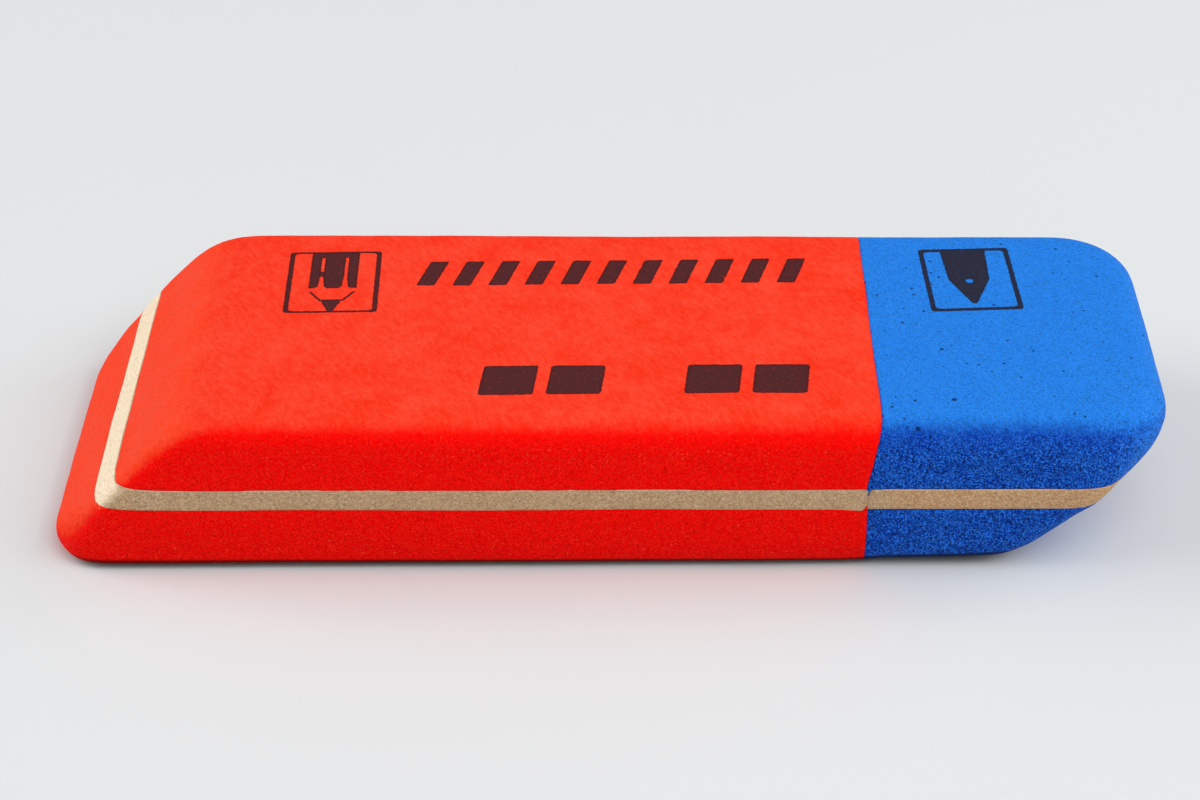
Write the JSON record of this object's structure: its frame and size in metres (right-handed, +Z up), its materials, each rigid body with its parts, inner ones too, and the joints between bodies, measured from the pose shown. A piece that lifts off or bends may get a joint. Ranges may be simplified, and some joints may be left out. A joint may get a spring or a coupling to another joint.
{
  "type": "rubber eraser",
  "caption": "Slanted block eraser with a long red end and a short blue end, each with a thin cream layer through its middle; soft worn edges.",
  "frame": {"origin": "middle of the footprint box, on the flat underside that it lies on", "axes": "+Z up from the underside, +X along the length from the red end to the blue end, -Y towards the front flank"},
  "size_m": [0.058, 0.021, 0.0086],
  "materials": {
    "red_rubber": "matte vulcanised rubber with a fine grain",
    "cream_rubber": "matte vulcanised rubber with fine dark specks",
    "blue_rubber": "matte gritty rubber with small pits"
  },
  "bodies": {
    "root": {"red_bottom_layer": "red_rubber", "red_core_layer": "cream_rubber", "red_top_layer": "red_rubber", "blue_bottom_layer": "blue_rubber", "blue_core_layer": "cream_rubber", "blue_top_layer": "blue_rubber"}
  },
  "joints": []
}
